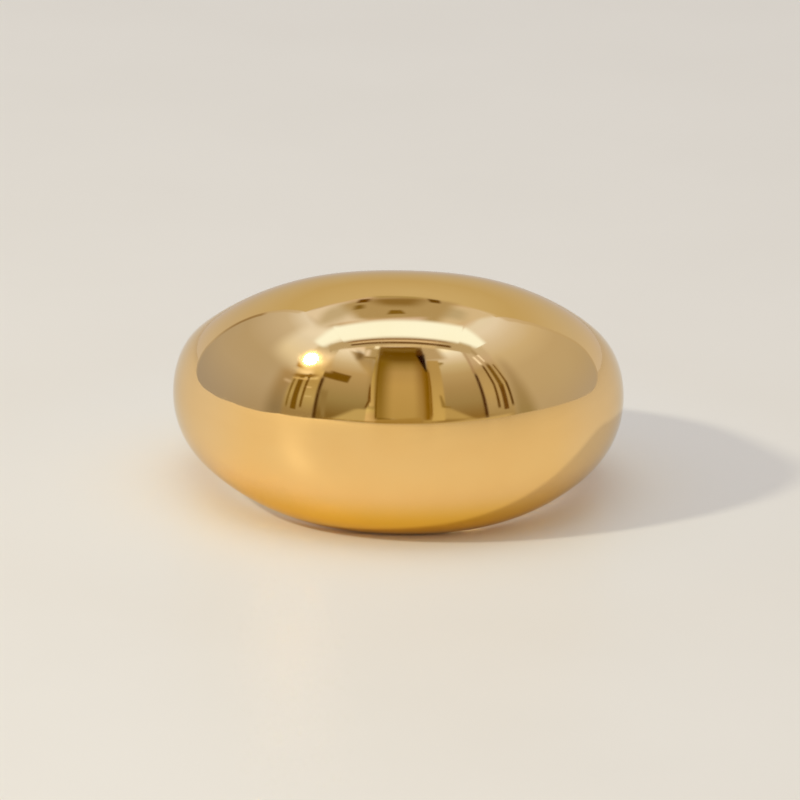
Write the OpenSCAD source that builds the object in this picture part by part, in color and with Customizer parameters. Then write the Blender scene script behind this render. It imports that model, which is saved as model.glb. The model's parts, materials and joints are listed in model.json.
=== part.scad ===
// A chunky dome ring: one solid band that swells into a wide, high dome on one
// side and tapers to a narrow shank on the other. It is modelled as it lies on
// a table by itself, with the dome towards -Y: the lower rim of the dome and the
// lower edge of the shank touch the table, so the finger hole leans back a little.
// All sizes are in millimetres. +Z is up, and the table is at Z = 0.

/* [Finger hole] */
// Diameter of the finger hole
finger_d = 17.3; // [14:0.1:22]
// Radius of the soft edge round each mouth of the finger hole
mouth_r = 0.4; // [0.2:0.05:0.6]

/* [Width of the band, from rim to rim] */
// At the middle of the dome
dome_w = 13; // [11:0.1:15]
// A fifth of the way to the back, where the dome begins to fall away
shoulder_w = 11.6; // [10:0.1:13]
// Two fifths of the way to the back, where the dome runs out
cheek_w = 7.8; // [7:0.1:9]
// Three fifths of the way to the back
side_w = 6.4; // [5.6:0.1:7]
// Four fifths of the way to the back
shank_w = 5.4; // [4.8:0.1:5.8]
// At the middle of the back
back_w = 4.5; // [4:0.1:5]

/* [Thickness of the band, from the finger hole out] */
// At the middle of the dome
dome_t = 5.2; // [4:0.1:7]
// A fifth of the way to the back
shoulder_t = 4.6; // [3.6:0.1:5.6]
// Two fifths of the way to the back
cheek_t = 3.1; // [2.6:0.1:3.8]
// Three fifths of the way to the back
side_t = 2.2; // [1.9:0.1:2.6]
// Four fifths of the way to the back
shank_t = 1.9; // [1.7:0.1:2.3]
// At the middle of the back
back_t = 1.8; // [1.6:0.1:2.2]

/* [Fineness] */
// Cross-sections round the ring
sections = 72; // [48:12:96]
// Steps over the arch of one cross-section
arch_steps = 18; // [12:2:24]
// Steps over each soft edge
mouth_steps = 3; // [2:1:4]

/* [Hidden] */

gold = [0.83, 0.62, 0.31];

// One row for each station, evenly spaced from the dome round to the back
WIDTH = 0;
THICKNESS = 1;
stations = [
    [dome_w, dome_t],
    [shoulder_w, shoulder_t],
    [cheek_w, cheek_t],
    [side_w, side_t],
    [shank_w, shank_t],
    [back_w, back_t],
];
last = len(stations) - 1;

function total(list) = list * [for (item = list) 1];

// The stations are joined by the one sum of cosines that passes through all of
// them, so width and thickness change smoothly all the way round and both
// halves of the ring match. The first and last terms count half.
function end_weight(i) = (i == 0 || i == last) ? 0.5 : 1;
function wave(column, k) =
    2 / last * end_weight(k) *
    total([for (i = [0 : last]) end_weight(i) * stations[i][column] * cos(180 * i * k / last)]);
waves = [for (column = [WIDTH, THICKNESS]) [for (k = [0 : last]) wave(column, k)]];
function band(column, turn) = total([for (k = [0 : last]) waves[column][k] * cos(k * turn)]);

// A cross-section is half an ellipse on its flat side, with a soft edge at each
// end. The arch starts a little outside the hole wall, and each soft edge runs
// on just past it, so that the drilled hole cuts the edge at a clear angle.
hole_r = finger_d / 2;
edge_reach = 0.85;
arch_r = hole_r + edge_reach * mouth_r;

function arch(w, t) = [
    for (i = [0 : arch_steps])
        let (a = 180 * i / arch_steps)
        [arch_r + (hole_r + t - arch_r) * sin(a), w / 2 * cos(a)]
];
function soft_edge(w) = [
    for (i = [1 : mouth_steps])
        let (a = 90 * i / mouth_steps)
        [arch_r - mouth_r * sin(a), w / 2 - mouth_r * (1 - cos(a))]
];
function flipped(outline) = [for (p = outline) [p[0], -p[1]]];
function backwards(list) = [for (i = [len(list) - 1 : -1 : 0]) list[i]];
function section(w, t) = concat(arch(w, t), flipped(soft_edge(w)), backwards(soft_edge(w)));

// The cross-sections stand round the finger axis, starting at the dome
rings = [
    for (s = [0 : sections - 1])
        let (turn = 360 * s / sections)
        [
            for (p = section(band(WIDTH, turn), band(THICKNESS, turn)))
                [p[0] * sin(turn), -p[0] * cos(turn), p[1]]
        ]
];
skin_points = [for (ring = rings, p = ring) p];
per_ring = len(rings[0]);
function corner(s, i) = (s % sections) * per_ring + i % per_ring;
skin_faces = [
    for (s = [0 : sections - 1], i = [0 : per_ring - 1], half = [0, 1])
        half == 0
            ? [corner(s, i), corner(s, i + 1), corner(s + 1, i + 1)]
            : [corner(s, i), corner(s + 1, i + 1), corner(s + 1, i)]
];

// The lean at which the dome's lower rim and the shank's lower edge both touch
// the table, found by halving
function tipped_z(p, lean) = p[2] * cos(lean) - p[1] * sin(lean);
function tipped_y(p, lean) = p[1] * cos(lean) + p[2] * sin(lean);
front_points = [for (p = skin_points) if (p[1] < 0) p];
back_points = [for (p = skin_points) if (p[1] > 0) p];
function low(points, lean) = min([for (p = points) tipped_z(p, lean)]);
function settled(least, most, tries) =
    let (lean = (least + most) / 2)
    tries == 0
        ? lean
        : low(front_points, lean) < low(back_points, lean)
            ? settled(lean, most, tries - 1)
            : settled(least, lean, tries - 1);
lean = settled(0, 45, 24);

// The middle of the ring's footprint and its lowest point go to the origin
depths = [for (p = skin_points) tipped_y(p, lean)];
footprint_y = (min(depths) + max(depths)) / 2;
table_z = low(skin_points, lean);

module domed_band() {
    color(gold)
        translate([0, -footprint_y, -table_z])
            rotate([-lean, 0, 0])
                difference() {
                    polyhedron(points = skin_points, faces = skin_faces, convexity = 4);
                    cylinder(h = 2 * dome_w, d = finger_d, center = true, $fn = 144);
                }
}

domed_band();
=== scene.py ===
"""Looks of the chunky dome ring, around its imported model.

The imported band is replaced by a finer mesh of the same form, worked out from the
same named sizes. It is dressed in polished gold and lies on a plain pale floor,
between the panels and lights of a small studio, seen from the photograph's angle.
"""

import json
import logging
import math
from collections.abc import Mapping, Sequence
from dataclasses import dataclass, field
from enum import Enum
from typing import Any

import bpy
import numpy as np
from mathutils import Matrix, Vector


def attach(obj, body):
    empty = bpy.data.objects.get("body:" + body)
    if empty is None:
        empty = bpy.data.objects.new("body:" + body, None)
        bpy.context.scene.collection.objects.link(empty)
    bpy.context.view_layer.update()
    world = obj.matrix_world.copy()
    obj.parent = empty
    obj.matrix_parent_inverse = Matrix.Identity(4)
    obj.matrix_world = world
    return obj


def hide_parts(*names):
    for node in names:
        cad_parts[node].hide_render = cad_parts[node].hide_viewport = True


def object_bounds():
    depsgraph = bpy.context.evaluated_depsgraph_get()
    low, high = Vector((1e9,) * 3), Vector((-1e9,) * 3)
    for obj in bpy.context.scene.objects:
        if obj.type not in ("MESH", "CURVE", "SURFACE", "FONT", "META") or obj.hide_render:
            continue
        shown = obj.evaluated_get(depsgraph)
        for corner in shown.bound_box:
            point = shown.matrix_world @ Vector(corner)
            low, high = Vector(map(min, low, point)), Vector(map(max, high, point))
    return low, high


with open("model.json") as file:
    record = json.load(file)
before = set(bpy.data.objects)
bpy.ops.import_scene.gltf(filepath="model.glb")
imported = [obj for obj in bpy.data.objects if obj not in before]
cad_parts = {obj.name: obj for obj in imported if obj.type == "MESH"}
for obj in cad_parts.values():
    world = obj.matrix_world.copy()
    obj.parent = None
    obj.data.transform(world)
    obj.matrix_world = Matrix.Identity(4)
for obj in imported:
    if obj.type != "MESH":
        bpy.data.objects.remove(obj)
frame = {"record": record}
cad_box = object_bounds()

LOG = logging.getLogger("dome_ring")
MM = 0.001
PERCENT = 0.01
THOUSANDTH = 0.001
BODY = "root"
NODE = "domed_band"
HOLE = "finger_hole"
LOWEST_HEIGHT = 0.05
NO_CLAMP = 0.0
GLOSSY_BLUR = 0.3
MIDDLE = 0.5

Triple = tuple[float, float, float]
Colour = Triple
Stops = tuple[tuple[float, Colour], ...]
Tone = Colour | Stops
Curve = tuple[tuple[float, float], ...]


def rgba(colour: Colour) -> tuple[float, float, float, float]:
    """Gives a colour its full opacity."""
    return (*colour, 1.0)


@dataclass(frozen=True)
class Signal:
    """A number that a shader node gives, for use in Python arithmetic.

    Attributes:
        bench: the bench whose tree the node is in.
        socket: the node's output socket.
    """

    bench: "NodeBench"
    socket: bpy.types.NodeSocket

    def math(self, operation: str, *values: Any) -> "Signal":
        """Adds one Math node.

        Args:
            operation: the Math node's operation.
            values: its inputs in order, signals or numbers.

        Returns:
            The node's result.
        """
        node = self.bench.node("ShaderNodeMath", {"operation": operation}, dict(enumerate(values)))
        return Signal(self.bench, node.outputs[0])

    def __add__(self, other: "Signal | float") -> "Signal":
        """Adds a signal or a number."""
        return self.math("ADD", self, other)

    def __radd__(self, other: float) -> "Signal":
        """Adds this signal to a number."""
        return self.math("ADD", other, self)

    def __sub__(self, other: "Signal | float") -> "Signal":
        """Takes away a signal or a number."""
        return self.math("SUBTRACT", self, other)

    def __rsub__(self, other: float) -> "Signal":
        """Takes this signal from a number."""
        return self.math("SUBTRACT", other, self)

    def __mul__(self, other: "Signal | float") -> "Signal":
        """Multiplies by a signal or a number."""
        return self.math("MULTIPLY", self, other)

    def __rmul__(self, other: float) -> "Signal":
        """Multiplies a number by this signal."""
        return self.math("MULTIPLY", other, self)

    def __truediv__(self, other: "Signal | float") -> "Signal":
        """Divides by a signal or a number."""
        return self.math("DIVIDE", self, other)

    def __rtruediv__(self, other: float) -> "Signal":
        """Divides a number by this signal."""
        return self.math("DIVIDE", other, self)

    def __neg__(self) -> "Signal":
        """Turns the sign round."""
        return self.math("MULTIPLY", self, -1.0)

    def __abs__(self) -> "Signal":
        """Drops the sign."""
        return self.math("ABSOLUTE", self)

    def at_least(self, other: "Signal | float") -> "Signal":
        """Gives the greater of this signal and another."""
        return self.math("MAXIMUM", self, other)


@dataclass(frozen=True)
class Speckle:
    """A noise texture, and the range that is made of it.

    Attributes:
        scale: cells for each unit.
        detail: octaves.
        roughness: share that the finer octaves keep.
        ends: the noise values that give 0 and 1, or nothing where the noise is used as it is.
        flat: whether the noise runs along one number and not through space.
    """

    scale: float
    detail: float = 2.0
    roughness: float = 0.5
    ends: tuple[float, float] | None = None
    flat: bool = False


class NodeBench:
    """Adds the nodes of one shader tree."""

    FIRST_COLOUR = 6
    SECOND_COLOUR = 7
    COLOUR_RESULT = 2

    def __init__(self, tree: bpy.types.NodeTree) -> None:
        """Starts with an empty tree.

        Args:
            tree: the node tree of a material or a world.
        """
        self.tree = tree
        self.tree.nodes.clear()

    def node(
        self,
        kind: str,
        settings: Mapping[str, Any] | None = None,
        inputs: Mapping[str | int, Any] | None = None,
    ) -> bpy.types.Node:
        """Adds one node.

        Args:
            kind: the node's type.
            settings: its own settings by name, "stops" for a ramp's colours, "curve" for a curve's points.
            inputs: values, signals or sockets, by the name or number of the input.

        Returns:
            The node.
        """
        made = self.tree.nodes.new(kind)
        for name, value in (settings or {}).items():
            if name == "stops":
                self._set_stops(made.color_ramp, value)
            elif name == "curve":
                self._set_curve(made.mapping, value)
            else:
                setattr(made, name, value)
        for name, value in (inputs or {}).items():
            self.feed(made.inputs[name], value)
        return made

    def feed(self, socket: bpy.types.NodeSocket, value: Any) -> None:
        """Links or sets one input.

        Args:
            socket: the input.
            value: a signal, an output socket, or a plain value.
        """
        if isinstance(value, Signal):
            value = value.socket
        if isinstance(value, bpy.types.NodeSocket):
            self.tree.links.new(value, socket)
        else:
            socket.default_value = value

    @staticmethod
    def _set_stops(ramp: bpy.types.ColorRamp, stops: Stops) -> None:
        """Fills a colour ramp.

        Args:
            ramp: the ramp of a new node.
            stops: positions from 0 to 1, each with its colour.
        """
        while len(ramp.elements) > 1:
            ramp.elements.remove(ramp.elements[-1])
        for number, (position, colour) in enumerate(stops):
            element = ramp.elements[0] if number == 0 else ramp.elements.new(position)
            element.position = position
            element.color = rgba(colour)

    @staticmethod
    def _set_curve(mapping: bpy.types.CurveMapping, points: Curve) -> None:
        """Fills a float curve with straight pieces.

        Args:
            mapping: the curve of a new node, with its two default points.
            points: positions from 0 to 1, each with its value.
        """
        line = mapping.curves[0].points
        while len(line) < len(points):
            line.new(MIDDLE, MIDDLE)
        for point, place in zip(line, points):
            point.location = place
            point.handle_type = "VECTOR"
        mapping.update()

    def signal(self, node: bpy.types.Node, output: str | int = 0) -> Signal:
        """Wraps one output of a node."""
        return Signal(self, node.outputs[output])

    def blend(self, share: Any, first: Any, second: Any, kind: str = "MIX") -> bpy.types.NodeSocket:
        """Mixes two colours.

        Args:
            share: how much of the second colour there is, from 0 to 1.
            first: a colour or a colour socket.
            second: a colour or a colour socket.
            kind: the Mix node's blend type.

        Returns:
            The mixed colour.
        """
        settings = {"data_type": "RGBA", "blend_type": kind}
        inputs = {0: share, self.FIRST_COLOUR: first, self.SECOND_COLOUR: second}
        return self.node("ShaderNodeMix", settings, inputs).outputs[self.COLOUR_RESULT]

    def vector(self, operation: str, *values: Any, output: str | int = 0) -> bpy.types.NodeSocket:
        """Adds one Vector Math node.

        Args:
            operation: the node's operation.
            values: its inputs in order.
            output: the output that is wanted.

        Returns:
            The output socket.
        """
        node = self.node("ShaderNodeVectorMath", {"operation": operation}, dict(enumerate(values)))
        return node.outputs[output]

    def rise(self, value: Signal, start: Any, end: Any) -> Signal:
        """Goes smoothly from 0 at start to 1 at end.

        Args:
            value: what is measured.
            start: where the result is still 0.
            end: where the result reaches 1.

        Returns:
            The smooth step.
        """
        inputs = {"Value": value, "From Min": start, "From Max": end}
        settings = {"interpolation_type": "SMOOTHSTEP", "clamp": False}
        return self.signal(self.node("ShaderNodeMapRange", settings, inputs))

    def noise(self, where: Any, speckle: Speckle) -> Signal:
        """Adds a noise texture and gives its value, from 0 to 1.

        Args:
            where: the coordinates, or the one number that a flat noise runs along.
            speckle: the noise and its range.

        Returns:
            The noise.
        """
        inputs = {"Scale": speckle.scale, "Detail": speckle.detail, "Roughness": speckle.roughness}
        settings = {"noise_dimensions": "1D" if speckle.flat else "3D"}
        place = "W" if speckle.flat else "Vector"
        made = self.node("ShaderNodeTexNoise", settings, {place: where, **inputs})
        value = self.signal(made, "Fac")
        return self.rise(value, *speckle.ends) if speckle.ends else value

    def scaled(self, value: Any, factor: Any) -> bpy.types.NodeSocket:
        """Adds one Vector Math node that scales a vector.

        Args:
            value: the vector.
            factor: a signal or a number.

        Returns:
            The scaled vector.
        """
        inputs = {0: value, "Scale": factor}
        return self.node("ShaderNodeVectorMath", {"operation": "SCALE"}, inputs).outputs[0]


@dataclass(frozen=True)
class PolishedGold:
    """Mirror-polished gold plating with the faint marks of polishing and wear.

    Attributes:
        colour: the metal's reflectance, seen straight on.
        deep_colour: a slightly redder tone, in faint clouds.
        foot_reflection_colour: a painted reflection: the deep orange of the gold-lit floor, mirrored low on
            the dome's front.
        foot_reflection_heights: where that tone sets in and where it is full, in millimetres above the
            floor.
        foot_reflection_depths: the same from back to front, in millimetres.
        side_reflection_colour: a painted reflection: the paler tone of the pale floor, mirrored low on the
            dome's two sides.
        side_reflection_widths: where that tone sets in and where it is full, in millimetres to either side.
        side_reflection_heights: the same above the floor, in millimetres.
        side_reflection_depths: the same from back to front, in millimetres.
        grazing: how much of the light is kept where the metal is seen at a flat angle.
        mirror: roughness of the clean polish.
        haze: roughness added in the haziest clouds.
        satin: roughness added on the wall of the finger hole.
        ripple: height of the polishing ripples, in metres.
        scratch: roughness added along the hairline scratches.
        groove: depth of the fine turned lines in the finger hole, in metres.
        wall_ends: how far outside the finger hole's radius its satin ends and is full, in millimetres.
        wall_sheen: the satin's least share, and how much the turned lines add to it.
        clouds: the clouds of the deeper tone, with cells for each millimetre, as below.
        smudges: the hazy patches.
        ripples: the polishing ripples.
        turned: the turned lines.
        hairline: the noise whose middle value draws the hairlines.
        hairline_ends: how far from that value a hairline ends and is full.
        hairline_sets: each set's turn, in radians, and its stretch.
        sparse: where hairlines show at all.
    """

    colour: Colour = (0.985, 0.642, 0.250)
    deep_colour: Colour = (0.978, 0.628, 0.238)
    foot_reflection_colour: Colour = (0.985, 0.612, 0.052)
    foot_reflection_heights: tuple[float, float] = (2.9, 0.7)
    foot_reflection_depths: tuple[float, float] = (3.0, -5.0)
    side_reflection_colour: Colour = (0.950, 0.656, 0.312)
    side_reflection_widths: tuple[float, float] = (7.2, 9.8)
    side_reflection_heights: tuple[float, float] = (9.2, 6.6)
    side_reflection_depths: tuple[float, float] = (2.0, -3.0)
    grazing: Colour = (0.82, 0.82, 0.80)
    mirror: float = 0.045
    haze: float = 0.035
    satin: float = 0.16
    ripple: float = 2.0e-6
    scratch: float = 0.05
    groove: float = 2.5e-6
    wall_ends: tuple[float, float] = (0.10, 0.01)
    wall_sheen: tuple[float, float] = (0.7, 0.6)
    clouds: Speckle = Speckle(0.35, 3.0, ends=(0.35, 0.7))
    smudges: Speckle = Speckle(0.8, 5.0, 0.6, (0.48, 0.72))
    ripples: Speckle = Speckle(0.55, 1.0)
    turned: Speckle = Speckle(14.0, 4.0, 0.7, flat=True)
    hairline: Speckle = Speckle(1.0, 1.0)
    hairline_ends: tuple[float, float] = (0.006, 0.001)
    hairline_sets: tuple[tuple[Triple, Triple], ...] = (
        ((0.4, 0.9, 0.3), (7.0, 0.35, 1.1)),
        ((1.3, 0.2, 1.9), (8.0, 0.3, 0.9)),
    )
    sparse: Speckle = Speckle(0.9, 2.0, ends=(0.52, 0.66))

    def make(self, centre: Vector, axis: Vector, hole_radius: float) -> bpy.types.Material:
        """Makes the material.

        Args:
            centre: a point on the finger hole's axis, in metres.
            axis: the direction of that axis.
            hole_radius: the finger hole's radius, in metres.

        Returns:
            The material.
        """
        material = bpy.data.materials.new("polished_gold_plating")
        material.use_nodes = True
        bench = NodeBench(material.node_tree)
        place = bench.node("ShaderNodeTexCoord").outputs["Object"]
        from_centre = bench.vector("SUBTRACT", place, tuple(centre))
        along = Signal(bench, bench.vector("DOT_PRODUCT", from_centre, tuple(axis), output="Value"))
        radial = bench.vector("SUBTRACT", from_centre, bench.scaled(tuple(axis), along))
        radius = Signal(bench, bench.vector("LENGTH", radial, output="Value"))
        in_hole = bench.rise(radius, *(hole_radius + reach * MM for reach in self.wall_ends))
        mm_place = bench.scaled(place, 1 / MM)

        smudges = bench.noise(mm_place, self.smudges)
        scratches = self._scratches(bench, mm_place)
        lines = bench.noise(along / MM, self.turned)
        colour = bench.blend(bench.noise(mm_place, self.clouds), rgba(self.colour), rgba(self.deep_colour))
        parts = bench.node("ShaderNodeSeparateXYZ", {}, {0: mm_place})
        aside, depth, height = (bench.signal(parts, number) for number in range(3))
        # Painted reflection: a paler tone low on the dome's two sides, for the pale floor mirrored there.
        flank_reflection = bench.rise(abs(aside), *self.side_reflection_widths) * bench.rise(height, *self.side_reflection_heights)
        flank_reflection = flank_reflection * bench.rise(depth, *self.side_reflection_depths)
        colour = bench.blend(flank_reflection, colour, rgba(self.side_reflection_colour))
        # Painted reflection: a deep orange low on the dome's front, for the gold-lit floor mirrored there.
        foot_reflection = bench.rise(height, *self.foot_reflection_heights) * bench.rise(depth, *self.foot_reflection_depths)
        colour = bench.blend(foot_reflection, colour, rgba(self.foot_reflection_colour))
        roughness = (
            self.mirror
            + smudges * self.haze
            + scratches * self.scratch
            + in_hole * (self.satin * (self.wall_sheen[0] + lines * self.wall_sheen[1]))
        )
        ripples = bench.noise(mm_place, self.ripples)
        relief = (ripples - MIDDLE) * self.ripple + in_hole * (lines - MIDDLE) * self.groove
        bump = bench.node("ShaderNodeBump", {}, {"Strength": 1.0, "Distance": 1.0, "Height": relief})
        shader = bench.node(
            "ShaderNodeBsdfPrincipled",
            {},
            {
                "Base Color": colour,
                "Metallic": 1.0,
                "Roughness": roughness,
                "Specular Tint": rgba(self.grazing),
                "Normal": bump.outputs[0],
            },
        )
        bench.node("ShaderNodeOutputMaterial", {}, {"Surface": shader.outputs[0]})
        return material

    def _scratches(self, bench: NodeBench, mm_place: bpy.types.NodeSocket) -> Signal:
        """Draws two crossing sets of sparse hairlines.

        Args:
            bench: the material's bench.
            mm_place: the place on the ring, in millimetres.

        Returns:
            1 on a hairline, 0 between them.
        """
        lines: list[Signal] = []
        for turn, stretch in self.hairline_sets:
            inputs = {"Vector": mm_place, "Rotation": turn, "Scale": stretch}
            mapped = bench.node("ShaderNodeMapping", {"vector_type": "POINT"}, inputs)
            value = bench.noise(mapped.outputs[0], self.hairline)
            lines.append(bench.rise(abs(value - MIDDLE), *self.hairline_ends))
        return lines[0].at_least(lines[1]) * bench.noise(mm_place, self.sparse)


@dataclass
class DomedBand:
    """The ring's one solid: a band that swells into a dome and tapers to a shank.

    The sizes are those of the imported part, in millimetres. Widths and thicknesses
    are given at even stations from the middle of the dome round to the back.

    Attributes:
        finger_d: diameter of the finger hole.
        mouth_r: depth of the soft edge round each mouth of the hole.
        edge_reach: how far the soft edge reaches outward, as a share of mouth_r.
        widths: width of the band from rim to rim.
        thicknesses: thickness of the band from the hole outward.
        turns: cross-sections round the ring.
        arch_steps: steps over the arch of one cross-section.
        edge_steps: steps over each soft edge.
        wall_steps: steps down the wall of the finger hole.
        fit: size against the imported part, so that the finer curves stay inside it.
        finish: the metal that it is dressed in.
    """

    finger_d: float = 17.3
    mouth_r: float = 0.4
    edge_reach: float = 0.85
    widths: tuple[float, ...] = (13.0, 11.6, 7.8, 6.4, 5.4, 4.5)
    thicknesses: tuple[float, ...] = (5.2, 4.6, 3.1, 2.2, 1.9, 1.8)
    turns: int = 360
    arch_steps: int = 96
    edge_steps: int = 10
    wall_steps: int = 14
    fit: float = 0.9988
    finish: PolishedGold = field(default_factory=PolishedGold)

    @staticmethod
    def _around(stations: Sequence[float], turn: np.ndarray) -> np.ndarray:
        """Joins the stations by the one sum of cosines that passes through them all.

        Args:
            stations: values from the dome round to the back.
            turn: angles from the middle of the dome, in radians.

        Returns:
            The value at each angle.
        """
        last = len(stations) - 1
        half = np.ones(last + 1)
        half[[0, last]] = 0.5
        steps = np.arange(last + 1)
        values = half * np.asarray(stations)
        waves = [
            2 / last * half[k] * float(np.sum(values * np.cos(math.pi * steps * k / last)))
            for k in range(last + 1)
        ]
        return sum(wave * np.cos(k * turn) for k, wave in enumerate(waves))

    def _section(self, width: np.ndarray, thickness: np.ndarray) -> tuple[np.ndarray, np.ndarray]:
        """Works out every cross-section, from the upper rim over the arch and back through the hole.

        Args:
            width: the band's width at each turn.
            thickness: its thickness at each turn.

        Returns:
            The distance from the hole's axis and the height of each point, one row for each turn.
        """
        hole_r = self.finger_d / 2
        reach = self.edge_reach * self.mouth_r
        arch_r = hole_r + reach
        half = width[:, None] / 2
        arch = np.linspace(0, math.pi, self.arch_steps + 1)[None, :]
        edge = np.linspace(0, math.pi / 2, self.edge_steps + 1)[None, 1:]
        wall = np.linspace(-1, 1, self.wall_steps + 1)[None, 1:-1]
        arch_far = arch_r + (hole_r + thickness[:, None] - arch_r) * np.sin(arch)
        arch_up = half * np.cos(arch)
        edge_far = np.repeat(arch_r - reach * np.sin(edge), len(width), axis=0)
        edge_up = half - self.mouth_r * (1 - np.cos(edge))
        wall_far = np.full((len(width), wall.shape[1]), hole_r)
        wall_up = (half - self.mouth_r) * wall
        far = np.concatenate([arch_far, edge_far, wall_far, edge_far[:, ::-1]], axis=1)
        up = np.concatenate([arch_up, -edge_up, wall_up, edge_up[:, ::-1]], axis=1)
        return far, up

    def _points(self, centre: Vector, lean: float) -> np.ndarray:
        """Works out the band's points, as it lies on the table.

        Args:
            centre: the middle of the finger hole, in metres.
            lean: how far the finger hole leans back, in radians.

        Returns:
            The points in metres, by turn and by place in the cross-section.
        """
        turn = np.linspace(0, 2 * math.pi, self.turns, endpoint=False)
        far, up = self._section(self._around(self.widths, turn), self._around(self.thicknesses, turn))
        across = far * np.sin(turn)[:, None]
        forward = -far * np.cos(turn)[:, None]
        lain_y = forward * math.cos(lean) + up * math.sin(lean)
        lain_z = up * math.cos(lean) - forward * math.sin(lean)
        return np.stack([across, lain_y, lain_z], axis=-1) * MM + np.array(centre)

    def build(self, mounts: Sequence[Mapping[str, Any]]) -> bpy.types.Object:
        """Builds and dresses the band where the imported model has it.

        Args:
            mounts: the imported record's mounts, with the finger hole's place and axis.

        Returns:
            The band.
        """
        hole = next(mount for mount in mounts if mount["name"] == HOLE)
        centre = Vector(hole["pos_m"])
        axis = Vector(hole["axis"]).normalized()
        middle = np.array((cad_box[0] + cad_box[1]) / 2)
        points = middle + (self._points(centre, math.atan2(axis.y, axis.z)) - middle) * self.fit
        turns, places = points.shape[:2]
        number = np.arange(turns * places).reshape(turns, places)
        ahead = np.roll(number, -1, axis=0)
        faces = np.stack(
            [number, np.roll(number, -1, axis=1), np.roll(ahead, -1, axis=1), ahead], axis=-1
        ).reshape(-1, 4)
        mesh = bpy.data.meshes.new("domed_band_fine")
        mesh.from_pydata(points.reshape(-1, 3).tolist(), [], faces.tolist())
        mesh.polygons.foreach_set("use_smooth", np.ones(len(faces), dtype=bool))
        mesh.update()
        mesh.validate()
        band = bpy.data.objects.new("domed_band_polished", mesh)
        bpy.context.scene.collection.objects.link(band)
        mesh.materials.append(self.finish.make(centre, axis, self.finger_d / 2 * MM))
        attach(band, BODY)
        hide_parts(NODE)
        LOG.info("%s: %d points, %d faces", band.name, len(mesh.vertices), len(mesh.polygons))
        return band


@dataclass(frozen=True)
class PaleSurface:
    """A matt cream surface with a very slight sheen.

    Attributes:
        colour: its diffuse colour.
        grain_colour: the slightly deeper tone of its faint mottling.
        painted_light_colour: a painted light: its paler, less orange tone round the ring, offsetting the
            warm light that the gold throws on it.
        painted_light_reach: where that tone sets in and where it is full, in millimetres from the ring's
            middle.
        roughness: roughness of its sheen.
        specular: strength of its sheen.
        grain: height of its fine grain, in metres.
        mottling: the clouds of the deeper tone, with cells for each millimetre, as below.
        grains: the grain itself.
    """

    colour: Colour = (0.864, 0.812, 0.628)
    grain_colour: Colour = (0.850, 0.798, 0.615)
    painted_light_colour: Colour = (0.870, 0.842, 0.676)
    painted_light_reach: tuple[float, float] = (26.0, 12.0)
    roughness: float = 0.38
    specular: float = 0.08
    grain: float = 4.0e-6
    mottling: Speckle = Speckle(0.05, 3.0, ends=(0.3, 0.7))
    grains: Speckle = Speckle(3.0, 3.0)

    def make(self) -> bpy.types.Material:
        """Makes the material."""
        material = bpy.data.materials.new("pale_cream_surface")
        material.use_nodes = True
        bench = NodeBench(material.node_tree)
        mm_place = bench.scaled(bench.node("ShaderNodeTexCoord").outputs["Object"], 1 / MM)
        far = Signal(bench, bench.vector("LENGTH", mm_place, output="Value"))
        tone = bench.blend(bench.noise(mm_place, self.mottling), rgba(self.colour), rgba(self.grain_colour))
        # Painted light: a paler, less orange tone round the ring, offsetting the warm light bounced from
        # the gold.
        tone = bench.blend(bench.rise(far, *self.painted_light_reach), tone, rgba(self.painted_light_colour))
        relief = bench.noise(mm_place, self.grains) * self.grain
        bump = bench.node("ShaderNodeBump", {}, {"Distance": 1.0, "Height": relief})
        shader = bench.node(
            "ShaderNodeBsdfPrincipled",
            {},
            {
                "Base Color": tone,
                "Roughness": self.roughness,
                "Specular IOR Level": self.specular,
                "Normal": bump.outputs[0],
            },
        )
        bench.node("ShaderNodeOutputMaterial", {}, {"Surface": shader.outputs[0]})
        return material


@dataclass(frozen=True)
class Floor:
    """The plain pale floor: a sheet under the ring, and the same surface all round it.

    The outer floor keeps out of reflections, because the studio's panels take its place there.

    Attributes:
        sheet: the corners of the sheet, to the right and towards the back, in metres.
        far: half the outer floor's size, in metres.
        drop: how far the outer floor lies below the sheet, in metres.
        surface: the surface of both.
    """

    sheet: tuple[tuple[float, float], ...] = (
        (-0.260, -0.450), (0.900, -0.450), (0.500, -0.190), (0.274, -0.060), (0.176, -0.001),
        (0.121, 0.019), (0.100, 0.029), (0.093, 0.040), (0.100, 0.053), (0.137, 0.089), (0.520, 0.420),
        (-0.390, 0.420), (-0.169, 0.168), (-0.085, 0.069), (-0.073, 0.055), (-0.061, 0.036),
        (-0.057, 0.024), (-0.060, 0.017), (-0.061, 0.009), (-0.071, -0.002), (-0.072, -0.014),
        (-0.078, -0.029), (-0.104, -0.057), (-0.113, -0.091), (-0.135, -0.149), (-0.200, -0.300),
    )
    far: float = 6.0
    drop: float = 0.00002
    surface: PaleSurface = field(default_factory=PaleSurface)

    def build(self) -> None:
        """Builds the sheet and the outer floor."""
        material = self.surface.make()
        far, low = self.far, -self.drop
        outer = [(-far, -far, low), (far, -far, low), (far, far, low), (-far, far, low)]
        sheet = [(x, y, 0.0) for x, y in self.sheet]
        for name, corners, mirrored in (("floor_sheet", sheet, True), ("floor_outer", outer, False)):
            mesh = bpy.data.meshes.new(name)
            mesh.from_pydata(corners, [], [tuple(range(len(corners)))])
            mesh.materials.append(material)
            part = bpy.data.objects.new(name, mesh)
            bpy.context.scene.collection.objects.link(part)
            part.visible_glossy = mirrored
            LOG.info("%s: %d corners", name, len(corners))


class Plane(Enum):
    """The plane in which a panel of the surroundings has straight edges."""

    ROUND = "degrees to the left of the camera's side, and degrees above the floor"
    OVERHEAD = "thousandths of the height, to the left and towards the back"


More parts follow.
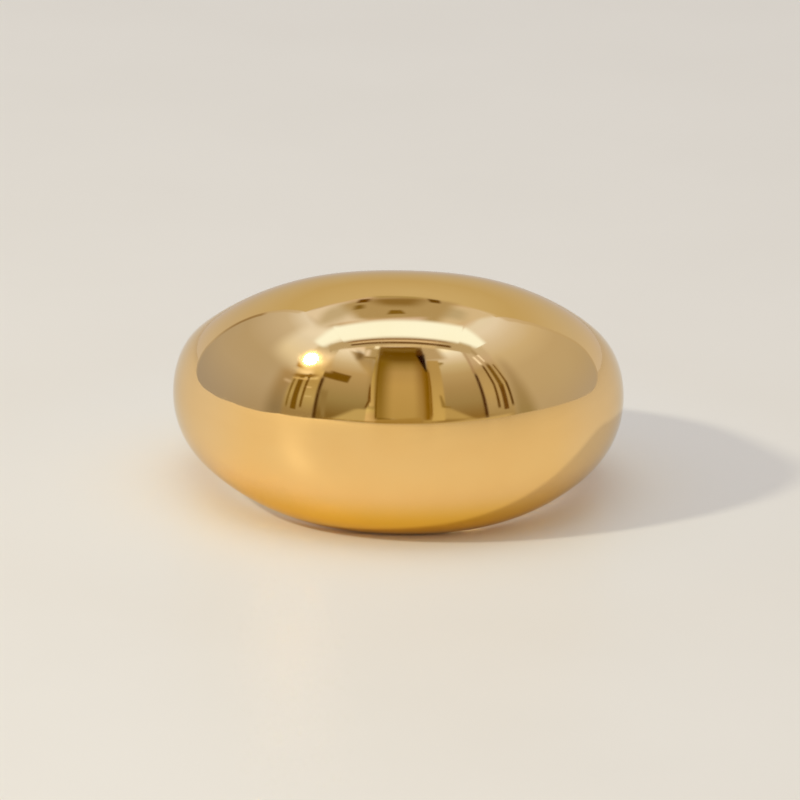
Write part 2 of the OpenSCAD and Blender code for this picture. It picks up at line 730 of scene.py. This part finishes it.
@dataclass(frozen=True)
class Panel:
    """One panel of light or shade around the ring.

    Attributes:
        name: what it is, for the label of its Mix node.
        across: its right and left edge.
        up: its lower and upper edge.
        tone: its colour in percent, or several at rising elevations.
        soft: half-width of its blurred edges, across and up.
        lean: how far its right and left edge move to the left, in percent of the way up.
        tilt: how far its lower and upper edge climb, in percent of the way left of its middle.
        strength: how fully it covers what is behind it.
    """

    name: str
    across: tuple[float, float]
    up: tuple[float, float]
    tone: Tone
    soft: tuple[float, float] = (0.5, 0.5)
    lean: tuple[float, float] = (0.0, 0.0)
    tilt: tuple[float, float] = (0.0, 0.0)
    strength: float = 1.0


# The tones, edges and panels from here on, and the floor sheet's corners, were fitted by
# other scripts to the bright and dark areas that the photographed ring mirrors.
BACKDROP: Stops = (
    (-6, (70.1, 65.5, 77)),
    (15, (59.4, 56.6, 64.8)),
    (45, (55.3, 49.1, 40.2)),
    (67, (59.2, 54.4, 50)),
)
SIDE_LEFT: Stops = (
    (-4, (41.2, 38.4, 44.4)),
    (12, (47.9, 46, 56.9)),
    (25, (48.3, 46.1, 54.6)),
    (35, (54.3, 53.1, 68.8)),
    (44, (59.8, 59.9, 81)),
    (52, (76.5, 84.4, 138.3)),
    (58, (52.1, 47.2, 55.1)),
    (64, (62.6, 56.1, 69.6)),
)
SIDE_RIGHT: Stops = (
    (-4, (47.2, 43.9, 50.6)),
    (12, (51.2, 48.1, 53.2)),
    (25, (53.1, 49.2, 53.8)),
    (35, (60.6, 57.9, 66.5)),
    (44, (68.1, 69.7, 98.6)),
    (52, (77.6, 85.1, 139.7)),
    (58, (77.6, 87.2, 140.9)),
    (64, (56.9, 45.6, 44)),
)
SEAM: Colour = (53.4, 48, 48.8)

LEFT_EDGE: Curve = (
    (-0.1, 0.76), (-0.068, 0.726), (-0.031, 0.703), (0.026, 0.687), (0.073, 0.682), (0.134, 0.686),
    (0.204, 0.682), (0.289, 0.678), (0.391, 0.672), (0.517, 0.661), (0.629, 0.643), (0.731, 0.613),
    (0.794, 0.583), (0.84, 0.6), (1, 0.6),
)
RIGHT_EDGE: Curve = (
    (-0.1, 0.87), (-0.065, 0.826), (-0.045, 0.786), (-0.01, 0.755), (0.03, 0.745), (0.075, 0.737),
    (0.15, 0.731), (0.233, 0.737), (0.33, 0.753), (0.421, 0.757), (0.521, 0.742), (0.644, 0.697),
    (0.721, 0.648), (0.791, 0.593), (0.84, 0.6), (1, 0.6),
)

OVERHEAD_CARDS: tuple[Panel, ...] = (
    Panel("overhead_left", (268, 656), (-225, 202), (76, 80, 123), (37, 28), (16, 22), (8, 0.9)),
    Panel(
        "overhead_left_grey", (421, 765), (-191, 138), (54, 54, 68), (99, 117), (-56, -69), (-28.8, -8.7),
    ),
    Panel("overhead_right", (-444, -257), (-250, 175), (66, 65, 83), (51, 45), (-62, 15), (0.2, -13.8)),
    Panel("overhead_right_grey", (-487, -240), (-128, 90), (51, 51, 61), (71, 64), (15, 12), (-4.3, 1)),
    Panel("overhead_middle", (-296, 324), (-249, 200), (44, 39, 35), (67, 52), (-12, 20), (12.6, -8.3)),
    Panel("overhead_light", (-149, 319), (-284, -231), (64, 60, 88), (52, 30), (-30, -1), (8.2, -20.7)),
    Panel("overhead_shade", (-87, 119), (28, 221), (26, 19, 9), (79, 70), (-28, 46), (4.9, -8.3)),
    Panel("overhead_rim", (-109, 161), (224, 268), (40, 36, 23), (41, 30), (9, 4), (1.5, 9.5)),
    Panel("overhead_edge_left", (208, 289), (136, 222), (14, 7, 0), (22, 14), (-31, -38), (8.1, 10.6)),
    Panel("overhead_edge_low", (247, 326), (-3, 90), (21, 15, 4), (32, 24), (-5, -25), (-8.2, 2.4)),
    Panel("overhead_edge_right", (-245, -176), (149, 230), (13, 7, 0), (15, 23), (18, 31), (-4.6, 5.7)),
    Panel("overhead_patch", (-33, 95), (-142, -63), (22, 15, 3), (18, 15), (38, -29), (-10.7, 0.4)),
)
FRONT_PANELS: tuple[Panel, ...] = (
    Panel(
        "left_corner", (59, 71.5), (-9, 24.4), ((0, (28, 25, 25)), (25, (44, 36, 31))), (5.07, 3.95),
        (-2, -8), (0, -7),
    ),
    Panel(
        "right_corner", (-76.2, -61.3), (-6.9, 33.3), ((0, (33, 29, 23)), (28, (41, 36, 37))), (4.66, 5.39),
        (27, -3), (0, 5),
    ),
    Panel(
        "left_glow", (57.1, 84.1), (27.8, 53.3), ((34, (78, 82, 113)), (44, (78, 86, 137)),
        (56, (94, 106, 179))), (7.94, 6.57), (-30, -4), (21, -16),
    ),
    Panel(
        "left_card", (44.3, 62.2), (-8.9, 43.6), ((0, (34, 28, 21)), (10, (50, 45, 33)), (20, (47, 39, 25)),
        (24, (58, 48, 34)), (28, (74, 65, 49)), (38, (84, 83, 109)), (46, (33, 33, 33))), (1.77, 1.87),
        (-12, -9), (0, -1),
    ),
    Panel(
        "right_card", (-62.5, -43.9), (-8.2, 45.3), ((0, (37, 31, 23)), (8, (46, 40, 35)),
        (16, (50, 43, 35)), (30, (46, 40, 36)), (36, (57, 53, 67)), (43, (59, 59, 75))), (1.79, 1.82),
        (6, 5), (0, 4),
    ),
    Panel(
        "front_right", (-46.1, -1), (-8.6, 59.5), ((2, (25, 17, 7)), (12, (34, 29, 22)), (22, (41, 35, 30)),
        (30, (49, 44, 42)), (36, (60, 60, 70)), (41, (75, 80, 122)), (45, (89, 104, 176)),
        (50, (124, 141, 208))), (0.66, 0.62), (7, -9),
    ),
    Panel(
        "front_left", (1.1, 44), (-8.9, 59.2), ((2, (22, 16, 7)), (12, (33, 29, 21)), (22, (42, 36, 30)),
        (30, (49, 42, 37)), (36, (62, 61, 74)), (41, (77, 83, 125)), (45, (90, 100, 162)),
        (50, (78, 73, 98))), (0.61, 0.49), (19, -4), (0, -1),
    ),
    Panel("left_foot", (12.2, 35.1), (-1.7, 7.8), (52, 46, 33), (2.77, 0.83), (2, -150), (3, 1)),
    Panel("right_foot", (-38, -16.3), (1.3, 9.4), (48, 40, 26), (2.27, 1.85), (158, 0), (12, 0)),
    Panel(
        "left_upper", (15.6, 14.6), (28, 43.4), ((30, (53, 44, 32)), (41, (41, 36, 35))), (2.66, 0.96),
        (2, 112), (0, 9),
    ),
    Panel("left_upper_top", (14.4, 22.3), (40.6, 51.7), (45, 41, 39), (1.41, 0.77), (-15, 31), (-1, 1)),
    Panel("left_upper_light", (20.1, 23.4), (43.2, 47.9), (81, 83, 124), (1.65, 1.37), (4, 1), (1, -1)),
    Panel("left_block", (22.9, 27.3), (40.2, 45.1), (21, 16, 11), (2.37, 2.09), (32, 41), (-34, 19)),
    Panel("left_upper_line", (14.9, 23.1), (41.7, 42.9), (32, 26, 19), (0.46, 0.36), (0, 0), (-4, -9)),
    Panel("right_upper", (-30, -14.3), (41.1, 52.4), (48, 44, 48), (3.74, 1.45), (27, 8), (1, 1)),
    Panel("right_upper_low", (-26, -17.4), (36.6, 39.3), (45, 40, 31), (1.13, 0.84), (-2, -1), (-1, -1)),
    Panel("right_block", (-27.3, -22.6), (37.6, 39), (33, 29, 20), (0.91, 0.25), (0, 0), (-1, 0)),
    Panel(
        "left_strip", (10, 16.4), (-1.4, 8.8), ((4, (70, 58, 47)), (9, (75, 70, 48))), (0.5, 1.78), (8, -5),
        (1, 1),
    ),
    Panel(
        "left_strip_high", (12, 14.7), (9.6, 52.1), ((14, (78, 68, 53)), (30, (76, 68, 46)),
        (50, (31, 26, 20))), (0.5, 1.33), (6, 2), (2, 0),
    ),
    Panel(
        "right_strip", (-23.3, -12.1), (0.6, 41.3), ((0, (60, 51, 32)), (32, (46, 38, 26))), (0.8, 0.81),
        (-3, -12), (-10, 8),
    ),
    Panel("left_curve", (14, 15.6), (12.8, 23.7), (15, 7, 1), (0.4, 2.37), (10, 3), (0, 1)),
    Panel("left_curve_foot", (16, 17.1), (8.7, 14), (15, 8, 1), (0.4, 0.58), (-34, -32), (0, 1)),
    Panel("right_curve", (-24.1, -22), (9.8, 17.4), (29, 22, 10), (0.79, 1), (24, 10)),
    Panel("right_curve_foot", (-26.6, -22.4), (9.5, 10.1), (26, 18, 3), (0.63, 0.25), (0, 0), (6, 13)),
    Panel("brown_card", (27.8, 43), (23.9, 29.1), (18, 11, 1), (0.67, 0.62), (-23, 4), (9, 10)),
    Panel(
        "middle_card", (-16.9, 11), (2.1, 52), ((3, (47, 38, 22)), (24, (52, 42, 27)), (33, (47, 38, 26)),
        (38, (34, 27, 14)), (42, (17, 11, 2)), (47, (14, 8, 0)), (49.5, (22, 16, 6)), (51, (16, 9, 0))),
        (0.35, 0.48), (2, 7), (7, -4),
    ),
    Panel(
        "middle_left_shade", (6.8, 11.4), (0.1, 41.6), (20, 13, 0), (4.63, 3.35), (-1, 11), (1, -6),
        strength=0.9,
    ),
    Panel(
        "middle_right_shade", (-12.9, -11.6), (-0.2, 42), (18, 9, 0), (4.23, 3.47), (-6, 2), (-1, 4),
        strength=0.8,
    ),
    Panel("middle_left_edge", (10.4, 11.4), (2, 50.9), (17, 10, 0), (0.5, 0.77), (4, 3), (1, 1)),
    Panel("middle_right_edge", (-16.4, -13.2), (1.9, 36.2), (25, 15, 1), (1.53, 0.68), (4, 0), (-1, 1)),
    Panel("middle_right_light", (-15.6, -14.7), (2.6, 35.2), (21, 12, 0), (0.76, 0.88), (-4, 0)),
    Panel("middle_right_line", (-17.2, -16.1), (3.9, 33.4), (23, 13, 0), (0.41, 1.37), (-1, -2), (-1, 0)),
    Panel("middle_foot", (-11.7, 11), (-0.9, 2.6), (39, 29, 13), (0.85, 0.62), (8, -1), (-6, -9)),
    Panel("flag_lower", (-16.2, -15.5), (33.2, 46), (1, 0, 0), (0.86, 0.8), (-3, 37), (0, -2)),
    Panel("flag_upper", (-16.5, -10.9), (45.3, 49.8), (9, 4, 1), (1.17, 1.28), (31, -26), (-2, 4)),
    Panel("left_bar", (41.8, 43.5), (-2.2, 24.2), (7, 3, 0), (0.9, 1.74), (-1, 0), (1, -4)),
    Panel("left_bar_light", (36.9, 38.7), (-0.1, 16.4), (29, 24, 16), (0.88, 2.04), (2, 17)),
    Panel("left_bar_top", (38.8, 45.1), (28, 43.3), (55, 47, 42), (2.2, 1.35), (38, -26), (-7, 0)),
    Panel("right_bar", (-46.5, -44.6), (-1.7, 28.4), (6, 2, 0), (0.68, 2.25), (5, 4), (0, 3)),
    Panel("right_bar_top", (-44.2, -43.2), (29, 44.7), (33, 24, 24), (1.34, 0.88), (-1, -5)),
    Panel(
        "left_stripe_1", (45.7, 49.9), (10.2, 11.1), (72, 67, 63), (0.63, 0.25), (0, 0), (-16, -14),
        strength=0.5,
    ),
    Panel(
        "left_stripe_2", (47.1, 51.1), (15.6, 16.6), (91, 81, 80), (0.95, 0.25), (0, 0), (-13, -10),
        strength=0.55,
    ),
    Panel(
        "left_stripe_3", (45.2, 53), (21.2, 23.3), (106, 104, 97), (1.12, 0.71), (-4, -1), (-19, -8),
        strength=0.5,
    ),
    Panel("left_stripe_4", (60, 64.6), (16, 17.3), (67, 63, 80), (1.51, 1), (2, 0), (5, 5), strength=0.8),
    Panel(
        "left_stripe_5", (50, 67.3), (23.9, 25.1), (115, 110, 121), (2.51, 2), (-7, 1), (32, -24),
        strength=0.8,
    ),
    Panel("left_slot_1", (58.5, 59.6), (2.1, 20), (20, 14, 3), (0.48, 1.63), (-3, -2)),
    Panel("left_slot_2", (53.3, 56.6), (1.3, 22.2), (18, 11, 1), (0.5, 0.35), (0, -2), (-3, -1)),
    Panel("left_slot_3", (50.2, 51.5), (3.3, 24.2), (16, 9, 0), (0.49, 0.94), (-2, -1), (0, -6)),
    Panel("left_slot_cap", (47.7, 60.3), (21.3, 23.2), (26, 16, 2), (2.7, 0.82), (-19, 2), (-18, -24)),
    Panel(
        "left_slot_light", (51.1, 59.8), (19.4, 20.5), (75, 63, 49), (0.97, 0.44), (-12, 2), (-12, -18),
        strength=0.8,
    ),
    Panel("lamp_rim", (56.7, 61.4), (26.3, 28.4), (42, 24, 0), (1.61, 0.61), (-1, 23), (-3, 28)),
    Panel("right_slot_1", (-53.6, -52), (5.5, 19.2), (12, 6, 0), (0.51, 1), (2, 0), (-2, 2)),
    Panel("right_slot_1b", (-53.5, -52.1), (18.8, 32.2), (12, 6, 0), (0.47, 1.37), (14, 14), (-3, 3)),
    Panel("right_slot_2", (-58.1, -55.4), (3.9, 19), (14, 7, 1), (0.58, 0.45), (0, 1), (3, 3)),
    Panel("right_slot_2b", (-58.1, -55.5), (17.8, 32.7), (18, 11, 2), (0.7, 1.82), (18, 16), (-2, 5)),
    Panel("right_slot_3", (-61.5, -60.1), (5.6, 19.9), (10, 5, 0), (0.51, 1.25), (3, 4), (-3, 2)),
    Panel("right_slot_3b", (-61, -59.6), (19.4, 31.6), (16, 9, 1), (0.55, 0.56), (23, 18), (-1, 1)),
    Panel("right_gap_1", (-51.1, -49.7), (33.4, 39.2), (102, 109, 163), (0.63, 0.88), (36, 36)),
    Panel("right_gap_2", (-54.1, -53.2), (34.7, 40.2), (91, 95, 140), (0.22, 0.25), (25, 40)),
    Panel("right_gap_dark", (-52.7, -50.1), (39.7, 46.2), (42, 38, 39), (1.69, 0.25), (29, 48), (-3, 0)),
    Panel("left_gap_dark", (45.7, 47.3), (41, 46.9), (46, 41, 48), (0.45, 0.8), (79, 79)),
)
CROSS_BARS: tuple[Panel, ...] = (
    Panel("cross_bar", (-836, 831), (-763, -570), (49, 46, 50), (23, 17), (40, -25), (-0.5, -4.5)),
    Panel("cross_bar_light", (-381, 394), (-783, -730), (67, 63, 68), (41, 30), (13, 1), (-2.6, -13)),
    Panel("cross_bar_gap", (-541, 516), (-712, -672), (13, 7, 1), (19, 16), (38, -23), (-0.6, -1.8)),
    Panel("cross_bar_rose", (-383, 487), (-664, -646), (80, 71, 82), (80, 13), (-10, 1), (-1.7, -2.7)),
    Panel("cross_bar_line", (-483, 527), (-630, -594), (24, 12, 0), (92, 17), (-17, 17), (-3.1, -3)),
    Panel("strip_softbox", (-588, 577), (-584, -261), (101, 131, 236), (6, 48), (21, 2), (-2.2, -4)),
    Panel("strip_right", (-854, -542), (-563, -329), (101, 131, 236), (6, 50), (-29, 3), (14, 51.2)),
    Panel("strip_left", (558, 896), (-589, -361), (101, 131, 236), (50, 67), (-4, 21), (-27.3, -51.8)),
)
FOOT_PANELS: tuple[Panel, ...] = (
    Panel("left_cap", (15, 18.4), (49.2, 51.3), (103, 116, 171), (0.38, 0.78), (0, -1), (-9, -6)),
    Panel("foot_sheet", (-60.9, 42.9), (-10.4, -0.4), (55, 47, 37), (2.95, 0.7), (19, -13), (0, -3)),
    Panel("foot_line", (-50.3, 37), (0.3, 0.8), (31, 22, 8), (2.8, 0.76), (-1, 3), (-4, -3)),
)

PANEL_GROUPS: tuple[tuple[Plane, tuple[Panel, ...]], ...] = (
    (Plane.OVERHEAD, OVERHEAD_CARDS),
    (Plane.ROUND, FRONT_PANELS),
    (Plane.OVERHEAD, CROSS_BARS),
    (Plane.ROUND, FOOT_PANELS),
)


@dataclass(frozen=True)
class Surroundings:
    """The studio round the ring: panels of light and shade, in every direction.

    Attributes:
        turn: how far the studio is turned against the ring, in degrees.
        brightest: the light that a full colour stands for, in percent.
        filter: the share of each colour that all panels keep.
        soft_light: the even light that the panels throw on matt surfaces.
        lamp: the key lamp's place, in degrees to the left and above the floor.
        glow_reach: how far the lamp's glow fades out round it, in degrees.
        glow: the glow's colour next to the lamp, in percent.
        lowest: the elevation of a tone ramp's first position, in degrees.
        span: the degrees that a tone ramp covers.
        curve_span: the heights, as shares, that the curves of the side edges cover.
        edge_blur: half-width of the blurred edge between the backdrop and the sides.
        top: how far back the backdrop's top is for each unit of height, and how much farther to the left.
        bulge: how much farther back its top is where it bulges.
        bulge_place: the middle of the bulge, to the left.
        bulge_reach: how far from there the bulge ends and is full.
        crossing: where the left side's tone gives way to the right side's, to the left.
        seam_place: the middle of the darker seam beside the backdrop, outward from the edge.
        seam_reach: how far from there the seam ends and is full.
        seam_top: how far behind the backdrop's top the seam sets in and is full.
        seam_share: how fully the seam covers what is behind it.
        line_place: the middle of the thin dark line along the left edge, outward from the edge.
        line_reach: how far from there the line ends and is full.
        line_foot: the heights at which the line sets in and is full, as shares.
        line_head: the heights at which it ends and is still full.
        line_filter: the share of each colour that the line leaves.
        horizon: the plain tone that the camera sees beyond the floor.
    """

    turn: float = 1.386
    brightest: float = 250.0
    filter: Colour = (1.003, 1.075, 1.032)
    soft_light: Colour = (0.578, 0.579, 0.724)
    lamp: tuple[float, float] = (55.8, 32.9)
    glow_reach: tuple[float, float] = (3.4, 7.6)
    glow: Colour = (125, 120, 110)
    lowest: float = -10.0
    span: float = 100.0
    curve_span: tuple[float, float] = (-0.1, 1.0)
    edge_blur: float = 0.005
    top: tuple[float, float] = (0.208, 0.03)
    bulge: float = 0.06
    bulge_place: float = 0.1
    bulge_reach: tuple[float, float] = (0.32, 0.03)
    crossing: tuple[float, float] = (0.05, -0.05)
    seam_place: float = 0.008
    seam_reach: tuple[float, float] = (0.018, 0.006)
    seam_top: tuple[float, float] = (0.0, -0.06)
    seam_share: float = 0.6
    line_place: float = 0.016
    line_reach: tuple[float, float] = (0.019, 0.009)
    line_foot: tuple[float, float] = (0.11, 0.38)
    line_head: tuple[float, float] = (0.57, 0.51)
    line_filter: Colour = (0.66, 0.57, 0.42)
    horizon: Colour = (0.60, 0.575, 0.535)

    def _scaled(self, colour: Colour) -> Colour:
        """Gives a colour as a share of the brightest light."""
        return tuple(channel * share / self.brightest for channel, share in zip(colour, self.filter))

    def _tone(self, bench: NodeBench, elevation: Signal, tone: Tone) -> Any:
        """Gives a panel's colour.

        Args:
            bench: the world's bench.
            elevation: the direction's elevation, as a ramp position.
            tone: the panel's colour, or its colours by elevation, in degrees.

        Returns:
            A plain colour, or the output of a ramp.
        """
        if not isinstance(tone[0], tuple):
            return rgba(self._scaled(tone))
        places = ((degrees - self.lowest) / self.span for degrees, _ in tone)
        stops = tuple(zip(places, (self._scaled(colour) for _, colour in tone)))
        return bench.node("ShaderNodeValToRGB", {"stops": stops}, {"Fac": elevation}).outputs["Color"]

    def _edge(self, bench: NodeBench, above: Signal, points: Curve) -> Signal:
        """Gives how far out one side's edge is at each height.

        Args:
            bench: the world's bench.
            above: the direction's height, as a share.
            points: heights, each with the edge's distance, as shares.

        Returns:
            The edge's distance.
        """
        low, high = self.curve_span
        curve = tuple(((height - low) / (high - low), far) for height, far in points)
        place = (above - low) / (high - low)
        return bench.signal(bench.node("ShaderNodeFloatCurve", {"curve": curve}, {"Value": place}))

    @staticmethod
    def _cover(bench: NodeBench, panel: Panel, across: Signal, up: Signal) -> Signal:
        """Works out how fully a panel covers each direction.

        Args:
            bench: the world's bench.
            panel: the panel.
            across: the direction's place across the panel's plane.
            up: its place up the panel's plane.

        Returns:
            The cover, from 0 to 1.
        """
        wide, high = panel.soft
        middle = sum(panel.across) / 2
        cover = None
        for edge, tilt, inward in zip(panel.up, panel.tilt, (1, -1)):
            place = up - (across - middle) * (tilt * PERCENT) if tilt else up
            side = bench.rise(place, edge - inward * high, edge + inward * high)
            cover = side if cover is None else cover * side
        climb = up - panel.up[0] if any(panel.lean) else None
        for edge, lean, inward in zip(panel.across, panel.lean, (1, -1)):
            place = across - climb * (lean * PERCENT) if lean else across
            cover = cover * bench.rise(place, edge - inward * wide, edge + inward * wide)
        return cover * panel.strength if panel.strength < 1 else cover

    def _sides(
        self, bench: NodeBench, left: Signal, back: Signal, above: Signal, ramp_place: Signal
    ) -> Any:
        """Lays the backdrop, the two sides that leave it open, and the darker lines along them.

        Args:
            bench: the world's bench.
            left: the direction's share to the left.
            back: its share towards the back.
            above: its share upward.
            ramp_place: its elevation, as a ramp position.

        Returns:
            The colour.
        """
        sideways = left / above.at_least(LOWEST_HEIGHT)
        beyond_left = left - self._edge(bench, above, LEFT_EDGE)
        beyond_right = -left - self._edge(bench, above, RIGHT_EDGE)
        beside = beyond_left.at_least(beyond_right)
        bulge = bench.rise(abs(sideways - self.bulge_place), *self.bulge_reach) * self.bulge
        ahead = (bulge + sideways * self.top[1] + self.top[0]) * above - back
        cover = bench.rise(beside.at_least(ahead), -self.edge_blur, self.edge_blur)
        to_right = bench.rise(left, *self.crossing)
        seam = bench.rise(abs(beside - self.seam_place), *self.seam_reach)
        seam = seam * bench.rise(ahead, *self.seam_top)
        line = bench.rise(abs(beyond_left - self.line_place), *self.line_reach)
        line = line * bench.rise(above, *self.line_foot) * bench.rise(above, *self.line_head)
        colour = self._tone(bench, ramp_place, BACKDROP)
        colour = bench.blend(cover, colour, self._tone(bench, ramp_place, SIDE_LEFT))
        colour = bench.blend(cover * to_right, colour, self._tone(bench, ramp_place, SIDE_RIGHT))
        colour = bench.blend(seam * self.seam_share, colour, self._tone(bench, ramp_place, SEAM))
        return bench.blend(line, colour, rgba(self.line_filter), "MULTIPLY")

    def build(self) -> None:
        """Builds the world's shader."""
        world = bpy.data.worlds.new("studio_surroundings")
        bpy.context.scene.world = world
        world.use_nodes = True
        world.cycles.sampling_method = "NONE"
        bench = NodeBench(world.node_tree)
        direction = bench.node("ShaderNodeTexCoord").outputs["Generated"]
        turned = bench.node(
            "ShaderNodeVectorRotate",
            {"rotation_type": "Z_AXIS"},
            {"Vector": direction, "Angle": math.radians(self.turn)},
        ).outputs[0]
        parts = bench.node("ShaderNodeSeparateXYZ", {}, {0: turned})
        left = -bench.signal(parts, 0)
        back = bench.signal(parts, 1)
        above = bench.signal(parts, 2)
        azimuth = left.math("ARCTAN2", left, -back) * math.degrees(1)
        elevation = above.math("ARCSINE", above) * math.degrees(1)
        unit = above.at_least(LOWEST_HEIGHT) * THOUSANDTH
        planes = {Plane.ROUND: (azimuth, elevation), Plane.OVERHEAD: (left / unit, back / unit)}
        ramp_place = (elevation - self.lowest) / self.span
        colour = self._sides(bench, left, back, above, ramp_place)
        for plane, group in PANEL_GROUPS:
            for panel in group:
                cover = self._cover(bench, panel, *planes[plane])
                colour = bench.blend(cover, colour, self._tone(bench, ramp_place, panel.tone))
                colour.node.label = panel.name
        side, rise = (math.radians(angle) for angle in self.lamp)
        lamp = (-math.sin(side) * math.cos(rise), -math.cos(side) * math.cos(rise), math.sin(rise))
        near = Signal(bench, bench.vector("DOT_PRODUCT", turned, lamp, output="Value"))
        apart = near.math("ARCCOSINE", near) * math.degrees(1)
        glow = bench.rise(apart, self.glow_reach[1], self.glow_reach[0])
        colour = bench.blend(glow, colour, self._tone(bench, ramp_place, self.glow))
        light = {"Color": colour, "Strength": self.brightest * PERCENT}
        panels = bench.node("ShaderNodeBackground", {}, light)
        rays = bench.node("ShaderNodeLightPath").outputs
        shader = panels.outputs[0]
        for ray, tone in (("Is Diffuse Ray", self.soft_light), ("Is Camera Ray", self.horizon)):
            plain = bench.node("ShaderNodeBackground", {}, {"Color": rgba(tone), "Strength": 1.0})
            inputs = {0: rays[ray], 1: shader, 2: plain.outputs[0]}
            shader = bench.node("ShaderNodeMixShader", {}, inputs).outputs[0]
        bench.node("ShaderNodeOutputWorld", {}, {"Surface": shader})
        LOG.info("studio_surroundings: %d panels", sum(len(group) for _, group in PANEL_GROUPS))


@dataclass(frozen=True)
class SoftLight:
    """One round or square soft light.

    Attributes:
        name: what it is.
        azimuth: where it stands, in degrees to the left of the camera's side.
        elevation: its height above the floor, in degrees.
        distance: how far it is from the ring, in metres.
        size: its width, in metres.
        irradiance: the light that it throws on a surface that faces it.
        colour: its colour.
        lights: whether it lights matt surfaces.
        mirrored: whether it shows in polished surfaces.
    """

    name: str
    azimuth: float
    elevation: float
    distance: float
    size: float
    irradiance: float
    colour: Colour
    lights: bool
    mirrored: bool

    def build(self, aim: Vector) -> None:
        """Builds the light.

        Args:
            aim: the point that it shines at, in metres.
        """
        side, rise = math.radians(self.azimuth), math.radians(self.elevation)
        away = Vector((-math.sin(side) * math.cos(rise), -math.cos(side) * math.cos(rise), math.sin(rise)))
        data = bpy.data.lights.new(self.name, "AREA")
        data.shape = "DISK"
        data.size = self.size
        data.energy = self.irradiance * math.pi * self.distance**2
        data.color = self.colour
        light = bpy.data.objects.new(self.name, data)
        light.location = aim + away * self.distance
        light.rotation_mode = "QUATERNION"
        light.rotation_quaternion = (-away).to_track_quat("-Z", "Y")
        light.visible_diffuse = self.lights
        light.visible_glossy = self.mirrored
        bpy.context.scene.collection.objects.link(light)
        LOG.info("%s: %.2f m away", self.name, self.distance)


@dataclass(frozen=True)
class Viewpoint:
    """The camera, at the photograph's angle to the ring.

    Attributes:
        aim: the point in the middle of the picture, in metres.
        azimuth: the camera's place round the ring, in degrees from the dome's side.
        elevation: its height above the floor, in degrees.
        roll: how far it is turned about its own axis, in degrees.
        distance: how far it is from the point, in metres.
        lens: its focal length, in millimetres.
        sensor: its sensor's width, in millimetres.
        clip: the nearest and farthest distance that it sees, in metres.
    """

    aim: Triple = (0.000081, -0.000541, 0.004511)
    azimuth: float = -1.412
    elevation: float = 16.580
    roll: float = 1.452
    distance: float = 0.39823
    lens: float = 358.6
    sensor: float = 36.0
    clip: tuple[float, float] = (0.01, 20.0)

    def build(self) -> None:
        """Builds the camera and makes it the scene's own."""
        side, rise = math.radians(self.azimuth), math.radians(self.elevation)
        away = Vector((math.sin(side) * math.cos(rise), -math.cos(side) * math.cos(rise), math.sin(rise)))
        data = bpy.data.cameras.new("viewpoint")
        data.lens = self.lens
        data.sensor_width = self.sensor
        data.clip_start, data.clip_end = self.clip
        camera = bpy.data.objects.new("viewpoint", data)
        level = (-away).to_track_quat("-Z", "Y").to_matrix()
        turned = level @ Matrix.Rotation(math.radians(self.roll), 3, "Z")
        camera.matrix_world = Matrix.Translation(Vector(self.aim) + away * self.distance) @ turned.to_4x4()
        bpy.context.scene.collection.objects.link(camera)
        bpy.context.scene.camera = camera
        LOG.info("viewpoint: %.1f degrees up, %.0f mm lens", self.elevation, self.lens)


LAMP_WHITE: Colour = (1.0, 0.98, 0.94)
FILL_WHITE: Colour = (1.0, 0.97, 0.92)
LIGHTS: tuple[SoftLight, ...] = (
    SoftLight("key_lamp", 56.9, 35.8, 0.30, 0.026, 1.15, LAMP_WHITE, lights=True, mirrored=False),
    SoftLight("key_lamp_face", 55.8, 32.6, 0.30, 0.036, 1.15, LAMP_WHITE, lights=False, mirrored=True),
    SoftLight("overhead_fill", 0.0, 89.0, 1.5, 1.2, 0.45, FILL_WHITE, lights=True, mirrored=False),
)


def main() -> None:
    """Builds the camera, the ring, the floor and the studio, in that order."""
    logging.basicConfig(level=logging.INFO, format="%(name)s: %(message)s")
    scene = bpy.context.scene
    scene.view_settings.view_transform = "Standard"
    scene.cycles.sample_clamp_indirect = NO_CLAMP
    scene.cycles.blur_glossy = GLOSSY_BLUR
    Viewpoint().build()
    DomedBand().build(frame["record"]["mounts"])
    Floor().build()
    Surroundings().build()
    middle = (cad_box[0] + cad_box[1]) / 2
    for light in LIGHTS:
        light.build(middle)


if __name__ == "__main__":
    main()
